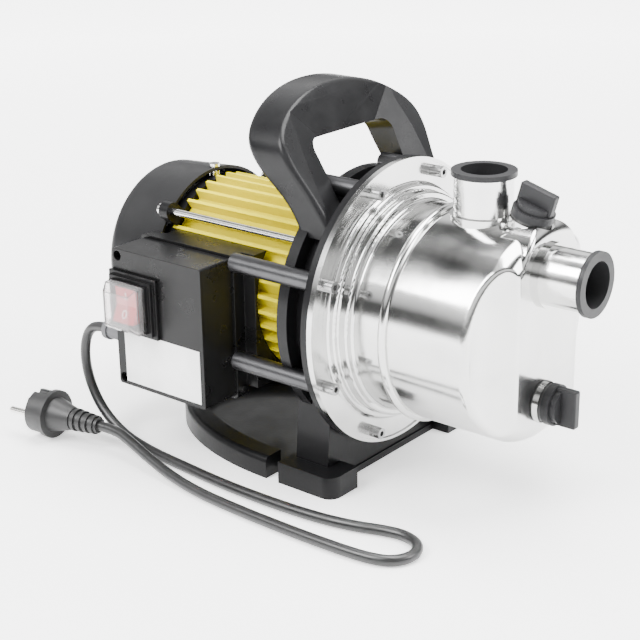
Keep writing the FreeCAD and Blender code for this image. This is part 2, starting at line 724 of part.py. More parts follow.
def rear_shield():
    """Dark end shield with the rear bearing seat and four lugs for the tie rods."""
    rear = -HOUSING_REAR - SHIELD_T
    plate = rod(SHIELD_R, rear, -HOUSING_REAR)
    seat = rod(BEARING_R_R + 4, rear, -HOUSING_REAR + 12)
    lug_x0 = -COVER_FRONT + GAP
    parts = [plate, seat]
    for y, z in TIE_SPOTS:
        lug = rod(TIE_LUG_R, lug_x0, lug_x0 + TIE_LUG_T, y, z)
        arm = block(lug_x0, lug_x0 + TIE_LUG_T, -TIE_LUG_R, TIE_LUG_R, SHIELD_R - 6, TIE_CIRCLE_R)
        arm = around_shaft(arm, math.degrees(math.atan2(z, y)) - 90)
        way = rod(FIN_TIP_R + GAP, -HOUSING_REAR, 0)
        parts.append(lug.fuse(arm).cut(way))
    body = fuse(parts)
    for y, z in TIE_SPOTS:
        body = body.cut(rod(TIE_R + GAP / 3, -HOUSING_REAR - 20, 0, y, z))
    body = body.cut(rod(BEARING_R_R, BEARING_R_X, -HOUSING_REAR + 20))
    return body.cut(rod(BEARING_R_R - 4, -HOUSING_REAR - 20, 0))


def tie_rods():
    """Long rods that clamp the motor between shield and bracket."""
    rods = []
    rear = -COVER_FRONT + GAP
    for y, z in TIE_SPOTS:
        pin = rod(TIE_R, rear - 1, -DISC_REAR, y, z)
        head = rod(TIE_HEAD_R, rear - TIE_HEAD_T, rear, y, z)
        rods.append(fuse([pin, head]))
    return Part.makeCompound(rods)


def cooling_fan():
    """Radial fan on the rear shaft end."""
    front = -FAN_REAR + FAN_DEPTH
    hub = tube(FAN_HUB_R, SHAFT_REAR_R, -FAN_REAR, front)
    disc = tube(FAN_R - 8, SHAFT_REAR_R, front - 3, front)
    blade = block(-FAN_REAR, front - 1, -1.1, 1.1, FAN_HUB_R - 2, FAN_R)
    parts = [hub, disc]
    for index in range(FAN_BLADES):
        parts.append(around_shaft(blade, 360.0 * index / FAN_BLADES))
    return fuse(parts)


def fan_cover():
    """Deep cap with rounded rear edge and a slotted grille."""
    flat_r = COVER_REAR_R - COVER_ROUND
    corner = math.sqrt(0.5) * COVER_ROUND
    outside = turned([
        (-COVER_REAR, 0), (-COVER_REAR, flat_r),
        (-COVER_REAR + COVER_ROUND, COVER_REAR_R, -COVER_REAR + COVER_ROUND - corner,
         flat_r + corner),
        (-COVER_FRONT, COVER_R), (-COVER_FRONT, 0)])
    wall = COVER_WALL
    inner_r = COVER_ROUND - wall
    corner = math.sqrt(0.5) * inner_r
    inside = turned([
        (-COVER_REAR + wall, 0), (-COVER_REAR + wall, flat_r),
        (-COVER_REAR + COVER_ROUND, COVER_REAR_R - wall, -COVER_REAR + COVER_ROUND - corner,
         flat_r + corner),
        (-COVER_FRONT + 1, COVER_R - wall), (-COVER_FRONT + 1, 0)])
    cover = outside.cut(inside)
    slot = block(-COVER_REAR - 1, -COVER_REAR + wall + 1, -COVER_SLOT_W / 2, COVER_SLOT_W / 2,
                 20.0, flat_r - 3)
    for index in range(COVER_SLOTS):
        cover = cover.cut(around_shaft(slot, 360.0 * index / COVER_SLOTS))
    for y, z in cover_screw_spots():
        cover = cover.cut(Part.makeCylinder(2.3, 20, V(fx(COVER_SCREW_X), y * 0.9, az(z * 0.9)),
                                            V(0, y, z)))
    return cover


def cover_screw_spots():
    return on_circle(3, COVER_R, 90.0)


def cover_feet():
    """Three nuts that carry the cover on the end shield, with their screws outside."""
    feet = []
    for y, z in cover_screw_spots():
        out = V(0, y, z)
        out.normalize()
        base = V(fx(COVER_SCREW_X), 0, AXIS_Z)
        shank = Part.makeCylinder(2.0, 7, base + out * (COVER_R - 6.2), out)
        head = Part.makeCylinder(4.0, 2.2, base + out * (COVER_R + 0.2), out)
        nut_r = SHIELD_R + GAP / 3
        nut = Part.makeCylinder(4.0, COVER_R - COVER_WALL - 0.8 - nut_r, base + out * nut_r, out)
        feet.append(fuse([shank, head, nut]))
    return Part.makeCompound(feet)


BOX_Y_FRONT = -BOX_FRONT
BOX_Y_SPLIT = -BOX_SPLIT


def soft_box(x0, x1, y0, y1, z0, z1, radius):
    """Box with its edges along Y rounded."""
    solid = block(x0, x1, y0, y1, z0, z1)
    edges = [edge for edge in solid.Edges if abs(edge.BoundBox.YLength - (y1 - y0)) < 0.1
             and edge.BoundBox.XLength < 0.1]
    return solid.makeFillet(radius, edges)


def box_cover():
    """Deep lid of the terminal box, open towards the motor."""
    outside = soft_box(BOX_X0, BOX_X1, BOX_Y_FRONT, BOX_Y_SPLIT, BOX_Z0, BOX_Z1, 2.0)
    wall = BOX_WALL
    inside = block(BOX_X0 + wall, BOX_X1 - wall, BOX_Y_FRONT + wall, 0, BOX_Z0 + wall, BOX_Z1 - wall)
    body = outside.cut(inside)
    for z in (BOX_Z0 + BOX_HOLE_INSET, BOX_Z1 - BOX_HOLE_INSET):
        x = BOX_X0 + BOX_HOLE_INSET
        post = Part.makeCylinder(BOX_HOLE_R + 1.6, BOX_FRONT - BOX_SPLIT,
                                 V(fx(x), BOX_Y_FRONT, az(z)), V(0, 1, 0))
        post = post.common(block(BOX_X0, BOX_X1, BOX_Y_FRONT, BOX_Y_SPLIT, BOX_Z0, BOX_Z1))
        bore = Part.makeCylinder(BOX_HOLE_R, 18, V(fx(x), BOX_Y_FRONT - 1, az(z)), V(0, 1, 0))
        body = body.fuse(post).cut(bore)
    half_w = ROCKER_W / 2 + 2
    half_h = ROCKER_H / 2 + 3
    body = body.cut(block(SWITCH_X - half_w, SWITCH_X + half_w, BOX_Y_FRONT - 1, BOX_Y_FRONT + 8,
                          SWITCH_Z - half_h, SWITCH_Z + half_h))
    body = body.cut(rod(GLAND_R - 1, BOX_X0 - 5, BOX_X0 + 10, -GLAND_Y, GLAND_Z))
    return body.removeSplitter()


def box_base():
    """Terminal box base: lip plate, body and a saddle on the motor fins."""
    lip = soft_box(BOX_X0 - BOX_LIP, BOX_X1 + BOX_LIP, BOX_Y_SPLIT, -BOX_BACK,
                   BOX_Z0 - BOX_LIP, BOX_Z1 + BOX_LIP, 3.0)
    neck = block(BOX_X0 + BOX_NECK_IN, BOX_X1 + BOX_NECK_IN, -BOX_BACK - 1, -BOX_SEAT,
                 BOX_Z0 + 6, BOX_Z1 + BOX_LIP)
    neck = neck.cut(rod(FIN_TIP_R + GAP / 3, -300, 0))
    for y, z in TIE_SPOTS:
        neck = neck.cut(rod(TIE_R + GAP, -300, 0, y, z))
    lip = lip.cut(rod(COVER_R + GAP / 3, BOX_X0 - 20, -COVER_FRONT + GAP))
    body = fuse([lip, neck])
    wall = BOX_WALL
    body = body.cut(block(BOX_X0 + 12, BOX_X1 - 6, BOX_Y_SPLIT - 1, -BOX_BACK - wall,
                          BOX_Z0 + 8, BOX_Z1 - 6))
    return body


def box_screws():
    """Two side screws of the lip and two deep screws of the cover."""
    screws = []
    for z in (BOX_Z0 + 4.5, BOX_Z1 - 7.0):
        head = rod(BOX_SIDE_SCREW_R, BOX_X1 + BOX_LIP, BOX_X1 + BOX_LIP + 1.8, -BOX_SIDE_SCREW_Y, z)
        screws.append(head)
    for z in (BOX_Z0 + BOX_HOLE_INSET, BOX_Z1 - BOX_HOLE_INSET):
        x = fx(BOX_X0 + BOX_HOLE_INSET)
        screws.append(Part.makeCylinder(3.0, 3.0, V(x, BOX_Y_FRONT + 17 - 3.0, az(z)), V(0, 1, 0)))
    return Part.makeCompound(screws)


def terminal_block():
    body = block(-120, -98, BOX_Y_SPLIT - 12.0, -BOX_BACK - BOX_WALL, -40, 0)
    for z in (-34, -20, -6):
        hole = Part.makeCylinder(2.5, 8, V(fx(-109), BOX_Y_SPLIT - 13, az(z)), V(0, 1, 0))
        body = body.cut(hole)
    return body


def capacitor():
    """Motor capacitor lying on the floor of the box."""
    y = -BOX_BACK - BOX_WALL - CAPACITOR_R - GAP
    return rod(CAPACITOR_R, CAPACITOR_X, CAPACITOR_X + CAPACITOR_LEN, y, CAPACITOR_Z)


def rating_plate():
    """Bare plate, kept free of lettering."""
    return block(PLATE_X0, PLATE_X0 + PLATE_W, BOX_Y_FRONT - PLATE_T, BOX_Y_FRONT,
                 PLATE_Z0, PLATE_Z0 + PLATE_H)


def switch_frame():
    """Bezel of three steps round the rocker."""
    body = None
    for step in range(SWITCH_STEPS):
        inset = 2.6 * step
        layer = block(SWITCH_X - SWITCH_W / 2 + inset, SWITCH_X + SWITCH_W / 2 - inset,
                      BOX_Y_FRONT - SWITCH_STEP * (step + 1), BOX_Y_FRONT,
                      SWITCH_Z - SWITCH_H / 2 + inset, SWITCH_Z + SWITCH_H / 2 - inset)
        body = layer if body is None else body.fuse(layer)
    well = block(SWITCH_X - ROCKER_W / 2 - 1, SWITCH_X + ROCKER_W / 2 + 1, BOX_Y_FRONT - 30, BOX_Y_FRONT + 10,
                 SWITCH_Z - ROCKER_H / 2 - 2, SWITCH_Z + ROCKER_H / 2 + 2)
    body = body.cut(well)
    ears = []
    for side in (-1, 1):
        x_in = SWITCH_X + side * (ROCKER_W / 2 + 0.4)
        x_out = SWITCH_X + side * (ROCKER_W / 2 + 1.9)
        ear = block(min(x_in, x_out), max(x_in, x_out), BOX_Y_FRONT - 8.0, BOX_Y_FRONT + 5.8,
                    SWITCH_Z - 4, SWITCH_Z + 4)
        ears.append(ear)
    body = fuse([body] + ears)
    return body.cut(rod(1.5 + RUNNING, SWITCH_X - 15, SWITCH_X + 15, -ROCKER_PIVOT, SWITCH_Z))


def rocker():
    """Two-way rocker on a cross pin, tipped to its off position."""
    half_h = ROCKER_H / 2
    top = ROCKER_PIVOT + 7.0
    outline = [(half_h, top + 1.5), (0, top - 1.5), (-half_h, top + 1.5), (-half_h + 2, ROCKER_PIVOT - 2),
               (-3, ROCKER_PIVOT - 5), (3, ROCKER_PIVOT - 5), (half_h - 2, ROCKER_PIVOT - 2)]
    x = fx(SWITCH_X - ROCKER_W / 2)
    corners = [V(x, -y, az(SWITCH_Z + z)) for z, y in outline]
    body = Part.Face(Part.makePolygon(corners + [corners[0]])).extrude(V(ROCKER_W, 0, 0))
    pin = rod(1.5, SWITCH_X - ROCKER_W / 2 - 1.7, SWITCH_X + ROCKER_W / 2 + 1.7, -ROCKER_PIVOT, SWITCH_Z)
    body = fuse([body, pin])
    body.rotate(V(0, -ROCKER_PIVOT, az(SWITCH_Z)), ALONG, -ROCKER_TILT)
    return body


def splash_cover():
    """Clear flexible hood over the rocker."""
    seat = BOX_Y_FRONT - SWITCH_STEP * SWITCH_STEPS
    wall = SPLASH_WALL

    def shell(shrink):
        base = [V(fx(SWITCH_X + a * (SPLASH_W / 2 - shrink)), seat, az(SWITCH_Z + b * (SPLASH_H / 2 - shrink)))
                for a, b in ((-1, -1), (1, -1), (1, 1), (-1, 1), (-1, -1))]
        mid = [V(p.x, seat - SPLASH_OUT * 0.45, p.z) for p in base]
        far = [V(fx(SWITCH_X + a * (SPLASH_W / 2 - 3.5 - shrink)), seat - SPLASH_OUT + shrink,
                 az(SWITCH_Z + b * (SPLASH_H / 2 - 4.5 - shrink)))
               for a, b in ((-1, -1), (1, -1), (1, 1), (-1, 1), (-1, -1))]
        lower = Part.makeLoft([Part.makePolygon(base), Part.makePolygon(mid)], True, True)
        upper = Part.makeLoft([Part.makePolygon(mid), Part.makePolygon(far)], True, True)
        return lower.fuse(upper).removeSplitter()

    return shell(0.0).cut(shell(wall))


def cable_gland():
    """Gland on the side of the box cover, with its black clamp ring."""
    x1 = BOX_X0
    x0 = BOX_X0 - GLAND_LEN
    barrel = rod(GLAND_R, x0 + 3, x1, -GLAND_Y, GLAND_Z)
    ring = rod(GLAND_RING_R, x0, x0 + 4, -GLAND_Y, GLAND_Z)
    spigot = rod(GLAND_R - 1, x1 - 1, x1 + BOX_WALL + 3, -GLAND_Y, GLAND_Z)
    body = fuse([barrel, ring, spigot])
    return body.cut(rod(CORD_D / 2, x0 + 8, x1 + 20, -GLAND_Y, GLAND_Z))


PLUG_DIR = V(-math.cos(math.radians(PLUG_YAW)), -math.sin(math.radians(PLUG_YAW)), 0)
PLUG_SIDE = V(-PLUG_DIR.y, PLUG_DIR.x, 0)
CORD_START = V(fx(BOX_X0 - GLAND_LEN), -GLAND_Y, az(GLAND_Z))
FLOOR_RUN = CORD_D / 2 + 0.05
CORD_ROUTE = [
    CORD_START,
    V(-176.4, -GLAND_Y, 84.0),
    V(-187.4, -GLAND_Y - 0.5, 77.6),
    V(-193.0, -GLAND_Y - 1.4, 66.4),
    V(-193.4, -GLAND_Y - 2.8, 51.6),
    V(-188.0, -GLAND_Y - 4.6, 35.0),
    V(-174.6, -102.0, 19.2),
    V(-152.0, -104.8, 8.0),
    V(-122.0, -108.0, FLOOR_RUN + 0.3),
    V(-84.0, -111.0, FLOOR_RUN),
    V(-38.0, -113.2, FLOOR_RUN),
    V(6.0, -113.4, FLOOR_RUN),
    V(44.0, -110.8, FLOOR_RUN),
    V(70.0, -105.2, FLOOR_RUN),
    V(88.0, -98.2, FLOOR_RUN),
    V(103.6, -95.2, FLOOR_RUN),
    V(117.4, -100.4, FLOOR_RUN),
    V(122.6, -113.4, FLOOR_RUN),
    V(117.0, -126.4, FLOOR_RUN),
    V(103.0, -132.4, FLOOR_RUN),
    V(80.0, -134.6, FLOOR_RUN),
    V(44.0, -135.6, FLOOR_RUN),
    V(0.0, -135.2, FLOOR_RUN),
    V(-42.0, -133.0, FLOOR_RUN),
    V(-76.0, -129.0, FLOOR_RUN + 0.1),
    V(-101.0, -124.4, 7.0),
    V(-121.0, -120.4, 13.4),
    PLUG_END - PLUG_DIR * 15.5,
    PLUG_END]


def power_cord():
    """Straight runs joined by tangent arcs, swept with the round section of the lead."""
    start = CORD_ROUTE[0]
    edges = []
    for index in range(1, len(CORD_ROUTE) - 1):
        before = CORD_ROUTE[index - 1]
        corner = CORD_ROUTE[index]
        after = CORD_ROUTE[index + 1]
        into = corner - before
        away = after - corner
        reach = CORD_ARC_SHARE * min(into.Length, away.Length)
        half_turn = into.getAngle(away) / 2.0
        radius = reach / math.tan(half_turn)
        into.normalize()
        away.normalize()
        arc_start = corner - into * reach
        arc_end = corner + away * reach
        inward = away - into
        inward.normalize()
        centre = corner + inward * (radius / math.cos(half_turn))
        arc_middle = centre - inward * radius
        edges.append(Part.LineSegment(start, arc_start).toShape())
        edges.append(Part.Arc(arc_start, arc_middle, arc_end).toShape())
        print("cord bend", index, "radius", round(radius, 1), "turn", round(math.degrees(2 * half_turn), 1))
        start = arc_end
    edges.append(Part.LineSegment(start, CORD_ROUTE[-1]).toShape())
    path = Part.Wire(edges)
    section = Part.Wire(Part.makeCircle(CORD_D / 2, CORD_ROUTE[0], CORD_ROUTE[1] - CORD_ROUTE[0]))
    lead = path.makePipeShell([section], True, True)
    ideal = path.Length * math.pi * CORD_D * CORD_D / 4.0
    print("cord length", round(path.Length, 1), "volume share", round(lead.Volume / ideal, 4))
    return lead


def along_plug(distance):
    return PLUG_END + PLUG_DIR * distance


def cord_sleeve():
    """Ribbed kink guard of the mains plug."""
    core = Part.makeCone(5.6, 7.4, PLUG_SLEEVE_LEN, PLUG_END, PLUG_DIR)
    parts = [core]
    for index in range(4):
        parts.append(Part.makeCylinder(7.0 + 0.5 * index, 3.0, along_plug(2.5 + 5.6 * index), PLUG_DIR))
    return fuse(parts)


def plug_body():
    """Moulded mains plug: neck, round grip disc and contact body with side grooves."""
    a = PLUG_SLEEVE_LEN
    neck = Part.makeCone(8.4, 13.0, PLUG_NECK_LEN, along_plug(a), PLUG_DIR)
    b = a + PLUG_NECK_LEN
    disc = Part.makeCylinder(PLUG_DISC_R, PLUG_DISC_T, along_plug(b), PLUG_DIR)
    c = b + PLUG_DISC_T
    face = Part.makeCylinder(PLUG_BODY_R, PLUG_BODY_LEN, along_plug(c), PLUG_DIR)
    body = fuse([neck, disc, face])
    for side in (-1, 1):
        groove = Part.makeCylinder(3.0, PLUG_BODY_LEN + 1, along_plug(c) + UP * (side * PLUG_BODY_R), PLUG_DIR)
        body = body.cut(groove)
    return body


def plug_pins():
    start = PLUG_SLEEVE_LEN + PLUG_NECK_LEN + PLUG_DISC_T + PLUG_BODY_LEN
    pins = []
    for side in (-1, 1):
        base = along_plug(start) + PLUG_SIDE * (side * PIN_PITCH / 2)
        pin = Part.makeCylinder(PIN_R, PIN_LEN, base, PLUG_DIR)
        tip = [edge for edge in pin.Edges if (edge.CenterOfMass - base).Length > PIN_LEN - 0.5]
        pins.append(pin.makeFillet(1.2, tip))
    return Part.makeCompound(pins)


def smooth_line(points):
    curve = Part.BSplineCurve()
    curve.interpolate(points)
    return curve.toShape()


def side_profile():
    """Curved band that the handle fills when seen from the side."""
    front = [V(fx(x), -FLANGE_R, az(z * PUMP_SCALE)) for x, z in HANDLE_FRONT]
    back = [V(fx(x), -FLANGE_R, az(z * PUMP_SCALE)) for x, z in HANDLE_BACK]
    wire = Part.Wire([smooth_line(front), Part.LineSegment(front[-1], back[-1]).toShape(),
                      smooth_line(back[::-1]), Part.LineSegment(back[0], front[0]).toShape()])
    return Part.Face(wire).extrude(V(0, 2 * FLANGE_R, 0))


def arch_profile():
    """Arch that the handle fills when seen along the shaft, one half and its mirror image."""
    x = fx(-150.0)
    outline = [V(x, y * PUMP_SCALE, az(z * PUMP_SCALE)) for y, z in HANDLE_ARCH]
    curve = Part.BSplineCurve()
    curve.interpolate(Points=outline, InitialTangent=V(0, 1, 0), FinalTangent=V(0, 0, -1))
    low = V(x, 0, outline[-1].z)
    wire = Part.Wire([curve.toShape(), Part.LineSegment(outline[-1], low).toShape(),
                      Part.LineSegment(low, outline[0]).toShape()])
    half = Part.Face(wire).extrude(V(200, 0, 0))
    return fuse([half, half.mirror(V(0, 0, 0), V(0, 1, 0))])


def window_wire(station, half_w, top):
    """Round-cornered outline of the finger opening at one station."""
    x = fx(station)
    low = az(HANDLE_FOOT_Z - 30)
    r = WINDOW_ROUND
    bend = r * (1 - math.sqrt(0.5))
    corner_top = az(top)
    right_arc = Part.Arc(V(x, half_w, corner_top - r), V(x, half_w - bend, corner_top - bend),
                         V(x, half_w - r, corner_top))
    left_arc = Part.Arc(V(x, r - half_w, corner_top), V(x, bend - half_w, corner_top - bend),
                        V(x, -half_w, corner_top - r))
    return Part.Wire([
        Part.LineSegment(V(x, half_w, low), V(x, half_w, corner_top - r)).toShape(), right_arc.toShape(),
        Part.LineSegment(V(x, half_w - r, corner_top), V(x, r - half_w, corner_top)).toShape(), left_arc.toShape(),
        Part.LineSegment(V(x, -half_w, corner_top - r), V(x, -half_w, low)).toShape(),
        Part.LineSegment(V(x, -half_w, low), V(x, half_w, low)).toShape()])


def handle_screw_axes():
    """Base point and direction of the screw under each handle foot."""
    axes = []
    for side in (-1, 1):
        angle = math.radians(90 - side * HANDLE_SCREW_ANGLE)
        out = V(0, math.cos(angle), math.sin(angle))
        axes.append((V(fx(HANDLE_SCREW_X), 0, AXIS_Z), out))
    return axes


def handle():
    """Moulded arch that curves back over the motor, with a finger opening that widens rearwards."""
    body = side_profile().common(arch_profile())
    edges = [edge for edge in body.Edges if edge.BoundBox.YLength > 20 and edge.BoundBox.ZMin < az(HANDLE_FOOT_Z)
             and edge.BoundBox.ZMax > az(HANDLE_FOOT_Z + 40)]
    body = body.makeFillet(HANDLE_ROUND, edges)
    opening = Part.makeLoft([window_wire(*WINDOW_REAR), window_wire(*WINDOW_FRONT)], True, True)
    body = body.cut(opening)
    x, half_w, top = WINDOW_FRONT
    body = body.cut(block(x, 100, -half_w, half_w, -100, top))
    body = body.cut(block(-200, 100, -200, 200, -200, HANDLE_FOOT_Z))
    body = body.cut(rod(DRUM_R, DISC_FRONT, STACK_REAR))
    body = body.cut(rod(DISC_R + GAP / 3, -200, DISC_FRONT))
    body = body.cut(rod(FLANGE_R + GAP, STACK_REAR - GAP, 200))
    for way in sleeve_ways():
        body = body.cut(way)
    for base, out in handle_screw_axes():
        body = body.cut(Part.makeCylinder(HANDLE_SCREW_R + GAP / 3, DRUM_R + 9, base, out))
    return body


def handle_screws():
    """Screws from inside the drum into the two handle feet."""
    screws = []
    for base, out in handle_screw_axes():
        seat = DRUM_R - DRUM_WALL - GAP
        shank = Part.makeCylinder(HANDLE_SCREW_R, DRUM_WALL + 8, base + out * (seat - 1), out)
        head = Part.makeCylinder(2 * HANDLE_SCREW_R - 1, 3.5, base + out * (seat - 3.5), out)
        screws.append(fuse([shank, head]))
    return Part.makeCompound(screws)


def ellipse_solid(x0, half_len, half_w, z0, z1):
    """Half-ellipse plate that points backwards from x0."""
    a = V(fx(x0), half_w, z0)
    b = V(fx(x0), -half_w, z0)
    curve = Part.Ellipse(V(fx(x0), 0, z0), half_len, half_w)
    edge = curve.toShape(math.pi / 2, 3 * math.pi / 2)
    wire = Part.Wire([edge, Part.LineSegment(b, a).toShape()])
    return Part.Face(wire).extrude(V(0, 0, z1 - z0))


def foot_base():
    """Base with two front pads, a horseshoe rail, a tray floor and the pedestal."""
    length = RAIL_REAR + RAIL_X
    rail = ellipse_solid(RAIL_X, length, FOOT_HALF_W, 0, RAIL_H)
    top_edges = [edge for edge in rail.Edges if edge.BoundBox.ZMin > RAIL_H - 0.1
                 and edge.BoundBox.XLength > 1]
    rail = rail.makeFillet(4.0, top_edges)
    rail = rail.cut(ellipse_solid(RAIL_X + 1, length + 1 - RAIL_W, FOOT_HALF_W - RAIL_W, -1, RAIL_H + 1))
    tray = ellipse_solid(RAIL_X, length - 4, FOOT_HALF_W - 4, 0, TRAY_T)
    link = block(RAIL_X - 1, PAD_X1 - 14, -66, 66, -AXIS_Z, TRAY_T - AXIS_Z)
    pads = []
    for side in (-1, 1):
        y0 = min(side * PAD_INNER, side * FOOT_HALF_W)
        y1 = max(side * PAD_INNER, side * FOOT_HALF_W)
        pad = block(PAD_X0, PAD_X1, y0, y1, -AXIS_Z, PAD_H - AXIS_Z)
        corners = [edge for edge in pad.Edges if edge.BoundBox.ZLength > PAD_H - 1
                   and abs(edge.CenterOfMass.y) > FOOT_HALF_W - 1 and edge.CenterOfMass.x > fx(0)]
        pads.append(pad.makeFillet(PAD_ROUND, corners))
    wall_y = [V(fx(PEDESTAL_X0), -PEDESTAL_HALF_W - 8, 0), V(fx(PEDESTAL_X0), PEDESTAL_HALF_W + 8, 0),
              V(fx(PEDESTAL_X0), PEDESTAL_HALF_W, AXIS_Z - 20), V(fx(PEDESTAL_X0), -PEDESTAL_HALF_W, AXIS_Z - 20)]
    pedestal = Part.Face(Part.makePolygon(wall_y + [wall_y[0]])).extrude(V(PEDESTAL_X1 - PEDESTAL_X0, 0, 0))
    pedestal = pedestal.cut(rod(DRUM_R, -100, 100))
    pedestal = pedestal.cut(rod(DISC_R + GAP / 3, -100, DISC_FRONT))
    pedestal = pedestal.cut(block(PEDESTAL_X0 - 1, PEDESTAL_X1 - 6, -PEDESTAL_HALF_W + 8,
                                  PEDESTAL_HALF_W - 8, TRAY_T - AXIS_Z, -DISC_R - 6))
    body = fuse([rail, tray, link] + pads + [pedestal])
    body = body.cut(block(RAIL_X, PAD_X0, -200, -64, -AXIS_Z - 1, 0))
    body = body.cut(block(RAIL_X, PAD_X0, 64, 200, -AXIS_Z - 1, 0))
    for way in sleeve_ways():
        body = body.cut(way)
    return body.cut(rod(FLANGE_R + GAP, STACK_REAR - GAP, 200))


NODES = {
    "pump_casing": pump_casing,
    "suction_neck": suction_neck,
    "suction_insert": suction_insert,
    "discharge_neck": discharge_neck,
    "discharge_insert": discharge_insert,
    "casing_gasket": casing_gasket,
    "clamp_ring": clamp_ring,
    "seal_plate": seal_plate,
    "mechanical_seal": mechanical_seal,
    "diffuser": diffuser,
    "venturi_tube": venturi_tube,
    "jet_nozzle": jet_nozzle,
    "flange_bolts": flange_bolts,
    "spacer_sleeves": spacer_sleeves,
    "front_bracket": front_bracket,
    "front_bearing": front_bearing,
    "rear_bearing": rear_bearing,
    "motor_housing": motor_housing,
    "stator_core": stator_core,
    "stator_windings": stator_windings,
    "rear_shield": rear_shield,
    "tie_rods": tie_rods,
    "fan_cover": fan_cover,
    "cover_screws": cover_feet,
    "box_base": box_base,
    "box_cover": box_cover,
    "box_screws": box_screws,
    "capacitor": capacitor,
    "terminal_block": terminal_block,
    "rating_plate": rating_plate,
    "switch_frame": switch_frame,
    "splash_cover": splash_cover,
    "cable_gland": cable_gland,
    "power_cord": power_cord,
    "cord_sleeve": cord_sleeve,
    "plug_body": plug_body,
    "plug_pins": plug_pins,
    "handle": handle,
    "handle_screws": handle_screws,
    "foot_base": foot_base,
    "shaft": shaft,
    "rotor_core": rotor_core,
    "impeller": impeller,
    "impeller_nut": impeller_nut,
    "seal_face": seal_face,
    "cooling_fan": cooling_fan,
    "front_bearing_inner": front_bearing_inner,
    "rear_bearing_inner": rear_bearing_inner,
    "rocker": rocker,
    "filler_plug": filler_plug,
    "filler_seal": lambda: seal_ring(FILLER_BASE, FILLER_DIR),
    "drain_plug": drain_plug,
    "drain_seal": lambda: seal_ring(DRAIN_BASE, ALONG),
}

os.makedirs("parts", exist_ok=True)
for name, build in NODES.items():
    shape = build()
    shape.exportStep("parts/" + name + ".step")
    print(name, "solids", len(shape.Solids), "volume", round(shape.Volume / 1000.0, 1), shape.isValid())
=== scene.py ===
"""Looks of the garden pump: materials, handle facets, marks on the rocker, mains lead, light and camera."""
import math

import bmesh
import bpy
import numpy as np
from mathutils import Matrix, Vector


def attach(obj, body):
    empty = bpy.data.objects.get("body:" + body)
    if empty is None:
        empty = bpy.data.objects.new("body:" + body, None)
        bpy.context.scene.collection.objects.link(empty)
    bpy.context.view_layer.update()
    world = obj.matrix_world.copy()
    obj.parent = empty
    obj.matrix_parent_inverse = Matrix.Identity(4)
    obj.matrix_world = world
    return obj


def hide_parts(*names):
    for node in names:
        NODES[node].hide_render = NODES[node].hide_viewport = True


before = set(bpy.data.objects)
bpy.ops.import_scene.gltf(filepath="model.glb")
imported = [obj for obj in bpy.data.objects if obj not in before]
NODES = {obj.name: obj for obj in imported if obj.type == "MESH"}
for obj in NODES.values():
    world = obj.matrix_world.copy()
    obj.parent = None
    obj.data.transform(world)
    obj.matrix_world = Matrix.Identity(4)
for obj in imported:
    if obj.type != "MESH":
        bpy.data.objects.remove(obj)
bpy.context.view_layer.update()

AXIS_Z = 0.120            # height of the shaft
FLANGE_X = 0.030          # front face of the flange


def new_object(name, data):
    """Object linked into the scene."""
    item = bpy.data.objects.new(name, data)
    bpy.context.collection.objects.link(item)
    return item


def dress(mesh, material):
    """Give a mesh one material in place of what it had."""
    mesh.materials.clear()
    mesh.materials.append(material)


# ---------------------------------------------------------------- materials

NOISE_LOW, NOISE_HIGH = 0.3, 0.7     # most of a noise lies between these
EDGE_SAMPLES = 12                    # rays per point for softened edges


